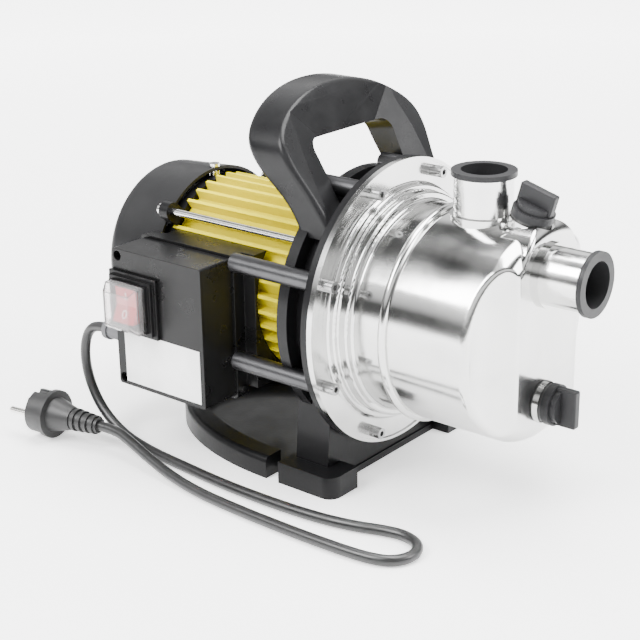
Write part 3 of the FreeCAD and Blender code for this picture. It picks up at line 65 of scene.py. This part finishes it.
class Surface:
    """One node material, built round a Principled shader.

    The plain colour and roughness stay on the shader for programs that don't read the nodes.
    """

    def __init__(self, name, colour, **fixed):
        self.material = bpy.data.materials.new(name)
        self.material.use_nodes = True
        self.tree = self.material.node_tree
        self.shader = self.tree.nodes["Principled BSDF"]
        self.shader.inputs["Base Color"].default_value = (*colour, 1.0)
        for key, value in fixed.items():
            self.shader.inputs[key.replace("_", " ")].default_value = value
        self.coords = self.tree.nodes.new("ShaderNodeTexCoord")
        self.last_normal = None

    def link(self, source, target):
        self.tree.links.new(source, target)

    def noise(self, scale, detail=3.0, stretch=(1.0, 1.0, 1.0)):
        """Noise in the piece's own coordinates, finer with a higher scale."""
        mapping = self.tree.nodes.new("ShaderNodeMapping")
        mapping.inputs["Scale"].default_value = stretch
        self.link(self.coords.outputs["Object"], mapping.inputs["Vector"])
        texture = self.tree.nodes.new("ShaderNodeTexNoise")
        texture.inputs["Scale"].default_value = scale
        texture.inputs["Detail"].default_value = detail
        self.link(mapping.outputs["Vector"], texture.inputs["Vector"])
        return texture.outputs["Fac"]

    def map_range(self, source, from_min, from_max, to_min, to_max):
        spread = self.tree.nodes.new("ShaderNodeMapRange")
        spread.inputs["From Min"].default_value = from_min
        spread.inputs["From Max"].default_value = from_max
        spread.inputs["To Min"].default_value = to_min
        spread.inputs["To Max"].default_value = to_max
        self.link(source, spread.inputs["Value"])
        return spread.outputs["Result"]

    def colour_from(self, source, dark, light):
        """Colour that follows a noise, from dark to light."""
        ramp = self.tree.nodes.new("ShaderNodeValToRGB")
        steps = ramp.color_ramp.elements
        for step, place, colour in zip(steps, (NOISE_LOW, NOISE_HIGH), (dark, light)):
            step.position = place
            step.color = (*colour, 1.0)
        self.link(source, ramp.inputs["Fac"])
        self.link(ramp.outputs["Color"], self.shader.inputs["Base Color"])

    def roughness_from(self, source, low, high):
        """Roughness that follows a noise, from low to high."""
        rough = self.map_range(source, NOISE_LOW, NOISE_HIGH, low, high)
        self.link(rough, self.shader.inputs["Roughness"])

    def use_normal(self, node):
        self.link(node.outputs["Normal"], self.shader.inputs["Normal"])
        self.last_normal = node

    def soft_edges(self, radius):
        """Shade sharp edges as if they had a small rounding."""
        node = self.tree.nodes.new("ShaderNodeBevel")
        node.samples = EDGE_SAMPLES
        node.inputs["Radius"].default_value = radius
        self.use_normal(node)

    def bump(self, source, strength, distance):
        """Fine relief that follows a noise, on top of what was there."""
        node = self.tree.nodes.new("ShaderNodeBump")
        node.inputs["Strength"].default_value = strength
        node.inputs["Distance"].default_value = distance
        self.link(source, node.inputs["Height"])
        if self.last_normal is not None:
            self.link(self.last_normal.outputs["Normal"], node.inputs["Normal"])
        self.use_normal(node)


def tinted(colour, factor, lift=0.0):
    return tuple(c * factor + lift for c in colour)


def polished_steel():
    s = Surface("polished_steel", (0.80, 0.80, 0.79), Metallic=1.0, Roughness=0.12)
    turned = s.noise(1.0, 4.0, stretch=(1400.0, 9.0, 9.0))
    cloud = s.noise(26.0, 4.0)
    s.colour_from(cloud, (0.54, 0.54, 0.535), (0.63, 0.63, 0.62))
    s.roughness_from(cloud, 0.09, 0.19)
    s.bump(turned, 0.015, 0.0004)
    s.bump(s.noise(38.0, 2.0), 0.03, 0.004)
    return s.material


def neck_steel():
    s = Surface("neck_steel", (0.78, 0.78, 0.77), Metallic=1.0, Roughness=0.14)
    cloud = s.noise(60.0, 4.0)
    s.colour_from(cloud, (0.62, 0.62, 0.62), (0.74, 0.74, 0.73))
    s.roughness_from(cloud, 0.10, 0.22)
    s.bump(s.noise(240.0), 0.05, 0.0005)
    return s.material


def moulded(name, colour, rough, edge=0.0):
    """Moulded plastic with a fine grain, and softened edges where edge gives a radius."""
    s = Surface(name, colour, Roughness=rough, Specular_IOR_Level=0.16)
    s.colour_from(s.noise(18.0, 5.0), tinted(colour, 0.86), tinted(colour, 1.22, 0.002))
    s.roughness_from(s.noise(70.0), rough - 0.05, rough + 0.06)
    if edge > 0.0:
        s.soft_edges(edge)
    s.bump(s.noise(2600.0, 2.0), 0.15, 0.00012)
    return s.material


def painted(name, colour, rough, coat):
    """Sprayed paint with a little orange peel."""
    s = Surface(name, colour, Roughness=rough, Specular_IOR_Level=0.10, Coat_Weight=coat,
                Coat_Roughness=0.12)
    s.colour_from(s.noise(14.0, 4.0), tinted(colour, 0.93), colour)
    s.roughness_from(s.noise(55.0), rough - 0.05, rough + 0.07)
    s.bump(s.noise(420.0), 0.12, 0.0004)
    return s.material


def bright_metal(name, colour, rough, stretch=(1.0, 1.0, 1.0), scale=900.0):
    s = Surface(name, colour, Metallic=1.0, Roughness=rough)
    grain = s.noise(scale, stretch=stretch)
    s.colour_from(s.noise(90.0), tinted(colour, 0.85), colour)
    s.roughness_from(grain, rough - 0.03, rough + 0.05)
    s.bump(grain, 0.015, 0.00002)
    return s.material


def rubber(name, colour, rough):
    s = Surface(name, colour, Roughness=rough, Sheen_Weight=0.08)
    s.colour_from(s.noise(30.0, 4.0), tinted(colour, 0.8), tinted(colour, 1.25))
    s.roughness_from(s.noise(120.0), rough - 0.06, rough + 0.06)
    s.bump(s.noise(1600.0, 2.0), 0.25, 0.0001)
    return s.material


def clear_cover():
    s = Surface("clear_cover", (0.97, 0.95, 0.95), Roughness=0.12, IOR=1.42, Transmission_Weight=0.92)
    s.colour_from(s.noise(60.0), (0.93, 0.90, 0.90), (0.99, 0.98, 0.98))
    s.roughness_from(s.noise(140.0), 0.06, 0.2)
    s.bump(s.noise(90.0, 2.0), 0.2, 0.0006)
    return s.material


def red_rocker():
    s = Surface("red_rocker", (0.62, 0.02, 0.03), Roughness=0.18, IOR=1.49, Transmission_Weight=0.15,
                Coat_Weight=0.4)
    s.colour_from(s.noise(50.0), (0.55, 0.015, 0.025), (0.70, 0.03, 0.04))
    s.roughness_from(s.noise(200.0, 2.0), 0.14, 0.26)
    return s.material


STEEL = polished_steel()
NECK = neck_steel()
INSERT = moulded("dark_insert", (0.016, 0.016, 0.017), 0.40)
BLACK_PLASTIC = moulded("black_plastic", (0.0045, 0.0045, 0.0047), 0.30, edge=0.0006)
COVER_PLASTIC = moulded("cover_plastic", (0.010, 0.010, 0.0105), 0.36)
HANDLE_PLASTIC = moulded("handle_plastic", (0.007, 0.007, 0.0075), 0.30)
BLACK_PAINT = painted("black_paint", (0.006, 0.006, 0.0065), 0.34, coat=0.1)
SLEEVE = bright_metal("sleeve_grey", (0.075, 0.075, 0.078), 0.34)
YELLOW = painted("yellow_paint", (0.60, 0.51, 0.0), 0.38, coat=0.0)
RUBBER = rubber("black_rubber", (0.006, 0.006, 0.0062), 0.45)
CORD = rubber("cord_rubber", (0.006, 0.006, 0.0062), 0.36)
BRIGHT = bright_metal("bright_steel", (0.78, 0.78, 0.77), 0.16, scale=60.0)
BOLT = bright_metal("bolt_steel", (0.40, 0.40, 0.40), 0.27, scale=60.0)
GROUND = bright_metal("ground_steel", (0.60, 0.60, 0.61), 0.3)
LAMINATION = bright_metal("laminations", (0.35, 0.35, 0.37), 0.45, stretch=(1800.0, 1.0, 1.0), scale=1.0)
COPPER = bright_metal("copper_winding", (0.72, 0.36, 0.16), 0.34)
NORYL = moulded("pump_plastic", (0.03, 0.03, 0.033), 0.45)
WHITE = moulded("white_plastic", (0.75, 0.75, 0.73), 0.4)
PLATE = moulded("bare_plate", (0.72, 0.72, 0.72), 0.3)
GLAND = moulded("gland_grey", (0.11, 0.11, 0.115), 0.45)
CLEAR = clear_cover()
RED = red_rocker()
PINS = bright_metal("pin_metal", (0.78, 0.77, 0.74), 0.2)

CAD_LOOKS = {
    STEEL: ["pump_casing"],
    NECK: ["suction_neck", "discharge_neck"],
    INSERT: ["suction_insert", "discharge_insert", "filler_plug", "drain_plug"],
    BLACK_PLASTIC: ["box_base", "box_cover", "switch_frame"],
    COVER_PLASTIC: ["fan_cover"],
    HANDLE_PLASTIC: ["handle"],
    BLACK_PAINT: ["front_bracket", "rear_shield", "foot_base", "clamp_ring"],
    SLEEVE: ["spacer_sleeves"],
    YELLOW: ["motor_housing"],
    RUBBER: ["casing_gasket", "mechanical_seal", "filler_seal", "drain_seal", "seal_face", "cord_sleeve",
             "plug_body"],
    CORD: ["power_cord"],
    BRIGHT: ["seal_plate", "tie_rods", "cover_screws", "box_screws", "handle_screws", "impeller_nut"],
    BOLT: ["flange_bolts"],
    GROUND: ["front_bearing", "rear_bearing", "shaft", "front_bearing_inner", "rear_bearing_inner"],
    LAMINATION: ["stator_core", "rotor_core"],
    COPPER: ["stator_windings"],
    NORYL: ["diffuser", "venturi_tube", "jet_nozzle", "impeller", "cooling_fan"],
    WHITE: ["capacitor", "terminal_block"],
    PLATE: ["rating_plate"],
    GLAND: ["cable_gland"],
    CLEAR: ["splash_cover"],
    RED: ["rocker"],
    PINS: ["plug_pins"],
}
for look, names in CAD_LOOKS.items():
    for name in names:
        dress(NODES[name].data, look)


# ---------------------------------------------------------------- the handle's front facets

# up the front of a leg: height above the shaft, station from the flange face
LEG_FRONT = [(0.050, -0.002), (0.060, -0.0065), (0.080, -0.0187), (0.110, -0.037), (0.130, -0.0498),
             (0.150, -0.059)]
# three points that set a plane: y, height above the shaft, depth behind the front
LEG_FACET = [(0.0555, 0.131, 0.0), (0.062, 0.066, 0.0), (0.041, 0.095, 0.005)]
GRIP_PANEL = [(-0.03, 0.143, 0.0), (0.03, 0.143, 0.0), (0.0, 0.118, 0.006)]
BLOCK_SIDE = 0.36                              # the block reaches past the handle all round
BLOCK_CENTRE = (0.05, 0.0, AXIS_Z + 0.1)
SAME_POINT = 0.000002                          # vertices closer than this are merged
CREASE = math.radians(14)                      # a sharper bend than this stays a hard edge


def behind_front(y, height, depth):
    """Point at a depth behind the handle's front surface."""
    heights, stations = zip(*LEG_FRONT)
    x = FLANGE_X + float(np.interp(height, heights, stations)) - depth
    return Vector((x, y, AXIS_Z + height))


def facet_cutter():
    """Block in front of three planes: one facet down each leg and the tilted panel of the grip."""
    planes = [[behind_front(side * y, height, depth) for y, height, depth in LEG_FACET] for side in (-1, 1)]
    planes.append([behind_front(*point) for point in GRIP_PANEL])
    bm = bmesh.new()
    bmesh.ops.create_cube(bm, size=BLOCK_SIDE, matrix=Matrix.Translation(BLOCK_CENTRE))
    for a, b, c in planes:
        normal = (b - a).cross(c - a).normalized()
        if normal.x < 0:
            normal = -normal
        cut = bmesh.ops.bisect_plane(bm, geom=bm.verts[:] + bm.edges[:] + bm.faces[:], plane_co=a,
                                     plane_no=normal, clear_inner=True)
        rim = [item for item in cut["geom_cut"] if isinstance(item, bmesh.types.BMEdge)]
        bmesh.ops.contextual_create(bm, geom=rim)
    bmesh.ops.recalc_face_normals(bm, faces=bm.faces[:])
    mesh = bpy.data.meshes.new("facet_cutter")
    bm.to_mesh(mesh)
    bm.free()
    return new_object("facet_cutter", mesh)


def faceted_handle():
    """The CAD handle with the facets on its legs and the panel on its grip."""
    source = NODES["handle"]
    mesh = source.data.copy()
    bm = bmesh.new()
    bm.from_mesh(mesh)
    bmesh.ops.remove_doubles(bm, verts=bm.verts[:], dist=SAME_POINT)
    bm.to_mesh(mesh)
    bm.free()
    piece = new_object("handle_faceted", mesh)
    piece.matrix_world = source.matrix_world.copy()
    cutter = facet_cutter()
    cut = piece.modifiers.new("facets", "BOOLEAN")
    cut.operation = "DIFFERENCE"
    cut.solver = "EXACT"
    cut.object = cutter
    seen = piece.evaluated_get(bpy.context.evaluated_depsgraph_get())
    piece.data = bpy.data.meshes.new_from_object(seen)
    piece.modifiers.clear()
    bpy.data.objects.remove(cutter)
    piece.data.polygons.foreach_set("use_smooth", [True] * len(piece.data.polygons))
    piece.data.set_sharp_from_angle(angle=CREASE)
    dress(piece.data, HANDLE_PLASTIC)
    return piece


handle = faceted_handle()
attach(handle, "housing")
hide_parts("handle")


# ---------------------------------------------------------------- marks on the rocker

ROCKER_X = -0.1205
MARK_RAISED = 0.0001      # the marks stand this far in front of the rocker
MARK_THICK = 0.00015      # and reach a little into it
AIM_FROM_Y = -0.2         # in front of the whole pump
# height above the floor, then half width and half height of the outer and the inner outline
MARKS = {
    "mark_off": (0.1118, (0.0022, 0.0028), (0.0015, 0.0021)),
    "mark_on": (0.1240, (0.0005, 0.0026), (0.00002, 0.0021)),
}


def oval(x, z, half_x, half_z, count=28):
    turns = [2 * math.pi * k / count for k in range(count)]
    return [(x + half_x * math.cos(t), z + half_z * math.sin(t)) for t in turns]


def printed_mark(name, outer, inner):
    """Thin ring between two outlines in X and Z, laid on the front of the rocker."""
    rocker = NODES["rocker"]
    turn = rocker.matrix_world
    back = turn.inverted()
    aim = (back.to_3x3() @ Vector((0, 1, 0))).normalized()
    front = []
    for x, z in outer + inner:
        hit, place, _, _ = rocker.ray_cast(back @ Vector((x, AIM_FROM_Y, z)), aim)
        assert hit, name
        front.append(turn @ place - Vector((0, MARK_RAISED, 0)))
    rear = [place + Vector((0, MARK_THICK, 0)) for place in front]
    count = len(outer)
    faces = []
    for i in range(count):
        j = (i + 1) % count
        faces.append((i, j, count + j, count + i))
        faces.append((2 * count + i, 3 * count + i, 3 * count + j, 2 * count + j))
        faces.append((i, 2 * count + i, 2 * count + j, j))
        faces.append((count + i, count + j, 3 * count + j, 3 * count + i))
    mesh = bpy.data.meshes.new(name)
    mesh.from_pydata(front + rear, [], faces)
    bm = bmesh.new()
    bm.from_mesh(mesh)
    bmesh.ops.recalc_face_normals(bm, faces=bm.faces[:])
    bm.to_mesh(mesh)
    bm.free()
    dress(mesh, WHITE)
    mark = new_object(name, mesh)
    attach(mark, "rocker")


for name, (height, outer, inner) in MARKS.items():
    printed_mark(name, oval(ROCKER_X, height, *outer), oval(ROCKER_X, height, *inner))


# ---------------------------------------------------------------- the mains lead

CORD_D = 0.0074
GLAND_END = (-0.1646, -0.095, 0.084)
FLOOR_RUN = CORD_D / 2 + 0.00005
PLUG_END = Vector((-0.1537, -0.120, 0.0183))
PLUG_YAW = math.radians(7.5)
PLUG_DIR = Vector((-math.cos(PLUG_YAW), -math.sin(PLUG_YAW), 0.0))
PLUG_RUN = 0.0155         # straight last stretch before the kink guard
CORD_ROUTE = [
    GLAND_END,
    (-0.1764, -0.0950, 0.0840),
    (-0.1858, -0.0955, 0.0780),
    (-0.1900, -0.0964, 0.0664),
    (-0.1892, -0.0978, 0.0516),
    (-0.1826, -0.0994, 0.0350),
    (-0.1686, -0.1014, 0.0192),
    (-0.1460, -0.1038, 0.0080),
    (-0.1170, -0.1066, FLOOR_RUN + 0.0003),
    (-0.0810, -0.1096, FLOOR_RUN),
    (-0.0380, -0.1132, FLOOR_RUN),
    (0.0060, -0.1134, FLOOR_RUN),
    (0.0440, -0.1108, FLOOR_RUN),
    (0.0700, -0.1052, FLOOR_RUN),
    (0.0880, -0.0982, FLOOR_RUN),
    (0.1036, -0.0952, FLOOR_RUN),
    (0.1174, -0.1004, FLOOR_RUN),
    (0.1226, -0.1134, FLOOR_RUN),
    (0.1170, -0.1264, FLOOR_RUN),
    (0.1030, -0.1324, FLOOR_RUN),
    (0.0800, -0.1346, FLOOR_RUN),
    (0.0440, -0.1356, FLOOR_RUN),
    (0.0000, -0.1352, FLOOR_RUN),
    (-0.0420, -0.1330, FLOOR_RUN),
    (-0.0740, -0.1286, 0.0056),
    (-0.1000, -0.1244, 0.0102),
    (-0.1210, -0.1206, 0.0150),
    tuple(PLUG_END - PLUG_DIR * PLUG_RUN),
    tuple(PLUG_END),
]
CURVE_ORDER = 3           # low, so that the curve keeps close to the route
STEPS_PER_POINT = 12
BEVEL_STEPS = 6           # gives 16 sides round the lead


def mains_lead():
    """Round lead on one smooth curve through the route's control points."""
    curve = bpy.data.curves.new("mains_lead", "CURVE")
    curve.dimensions = "3D"
    curve.bevel_depth = CORD_D / 2
    curve.bevel_resolution = BEVEL_STEPS
    curve.resolution_u = STEPS_PER_POINT
    curve.use_fill_caps = True
    spline = curve.splines.new("NURBS")
    spline.points.add(len(CORD_ROUTE) - 1)
    for point, place in zip(spline.points, CORD_ROUTE):
        point.co = (*place, 1.0)
    spline.order_u = CURVE_ORDER
    spline.use_endpoint_u = True
    curve.materials.append(CORD)
    return new_object("mains_lead", curve)


lead = mains_lead()
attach(lead, "housing")
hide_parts("power_cord")


# ---------------------------------------------------------------- floor, light and camera

CAMERA_PLACE = (0.59094, -0.77338, 0.46452)
CAMERA_AZIMUTH = math.radians(39.36)
CAMERA_ELEVATION = math.radians(20.56)
CAMERA_ROLL = math.radians(-0.84)
LENS = 82.88              # mm, with a sensor 36 mm wide
SENSOR = 36.0
FAR_CLIP = 50.0

FLOOR_HALF = 8.0
# painted light: the paper glows, weakly near the pump and more strongly further away
GLOW_FROM, GLOW_TO = 0.25, 1.8
GLOW_NEAR, GLOW_FAR = 0.8, 4.5

# name, place, aim, width, height, power in watts
LIGHTS = [
    ("key", (-0.5, -1.3, 1.5), (0.0, 0.0, 0.1), 1.0, 1.0, 80.0),
    ("top", (0.1, 0.3, 1.6), (0.0, 0.0, 0.1), 1.4, 1.0, 80.0),
    ("side", (1.4, 0.5, 0.9), (0.05, 0.0, 0.12), 0.8, 0.9, 30.0),
]

# the surround's grey, from the horizon up to straight overhead
SURROUND = [(0.0, 0.55), (0.06, 0.07), (0.20, 0.05), (0.30, 0.60), (0.42, 1.00), (0.62, 0.90), (0.71, 0.08),
            (0.83, 0.03), (0.92, 0.90), (1.0, 1.0)]
SURROUND_STRENGTH = 1.9


def add_camera():
    """Camera where the photo was taken from."""
    back = Vector((math.sin(CAMERA_AZIMUTH) * math.cos(CAMERA_ELEVATION),
                   -math.cos(CAMERA_AZIMUTH) * math.cos(CAMERA_ELEVATION),
                   math.sin(CAMERA_ELEVATION)))
    forward = -back
    right = forward.cross(Vector((0, 0, 1))).normalized()
    up = right.cross(forward)
    side = right * math.cos(CAMERA_ROLL) + up * math.sin(CAMERA_ROLL)
    top = up * math.cos(CAMERA_ROLL) - right * math.sin(CAMERA_ROLL)
    data = bpy.data.cameras.new("camera")
    data.sensor_width = SENSOR
    data.lens = LENS
    data.clip_end = FAR_CLIP
    camera = new_object("camera", data)
    turn = Matrix((side, top, back)).transposed().to_4x4()
    camera.matrix_world = Matrix.Translation(CAMERA_PLACE) @ turn
    bpy.context.scene.camera = camera


def add_floor():
    """White paper under the pump, with a painted glow that grows further out."""
    mesh = bpy.data.meshes.new("floor")
    corners = [(-FLOOR_HALF, -FLOOR_HALF, 0), (FLOOR_HALF, -FLOOR_HALF, 0), (FLOOR_HALF, FLOOR_HALF, 0),
               (-FLOOR_HALF, FLOOR_HALF, 0)]
    mesh.from_pydata(corners, [], [(0, 1, 2, 3)])
    floor = new_object("floor", mesh)
    s = Surface("floor_white", (0.93, 0.93, 0.93), Roughness=0.45, Specular_IOR_Level=0.25,
                Emission_Color=(1.0, 1.0, 1.0, 1.0))
    s.colour_from(s.noise(3.0, 2.0), (0.92, 0.92, 0.92), (0.94, 0.94, 0.94))
    reach = s.tree.nodes.new("ShaderNodeVectorMath")
    reach.operation = "LENGTH"
    s.link(s.coords.outputs["Object"], reach.inputs[0])
    # painted light: the floor's own glow, stronger with the distance from the middle
    glow = s.map_range(reach.outputs["Value"], GLOW_FROM, GLOW_TO, GLOW_NEAR, GLOW_FAR)
    s.link(glow, s.shader.inputs["Emission Strength"])
    mesh.materials.append(s.material)


def add_light(name, place, target, width, height, power):
    data = bpy.data.lights.new(name, "AREA")
    data.shape = "RECTANGLE"
    data.size = width
    data.size_y = height
    data.energy = power
    light = new_object(name, data)
    light.location = place
    aim = Vector(target) - Vector(place)
    light.rotation_euler = aim.to_track_quat("-Z", "Y").to_euler()


def add_world():
    """Studio surround in dark and bright bands for the steel to mirror."""
    world = bpy.data.worlds.new("studio")
    bpy.context.scene.world = world
    world.use_nodes = True
    tree = world.node_tree
    background = tree.nodes["Background"]
    coords = tree.nodes.new("ShaderNodeTexCoord")
    split = tree.nodes.new("ShaderNodeSeparateXYZ")
    ramp = tree.nodes.new("ShaderNodeValToRGB")
    steps = ramp.color_ramp.elements
    for place, _ in SURROUND[1:-1]:
        steps.new(place)
    for step, (_, grey) in zip(steps, SURROUND):
        step.color = (grey, grey, grey, 1.0)
    tree.links.new(coords.outputs["Generated"], split.inputs["Vector"])
    tree.links.new(split.outputs["Z"], ramp.inputs["Fac"])
    tree.links.new(ramp.outputs["Color"], background.inputs["Color"])
    background.inputs["Strength"].default_value = SURROUND_STRENGTH


add_camera()
add_floor()
add_world()
for light in LIGHTS:
    add_light(*light)
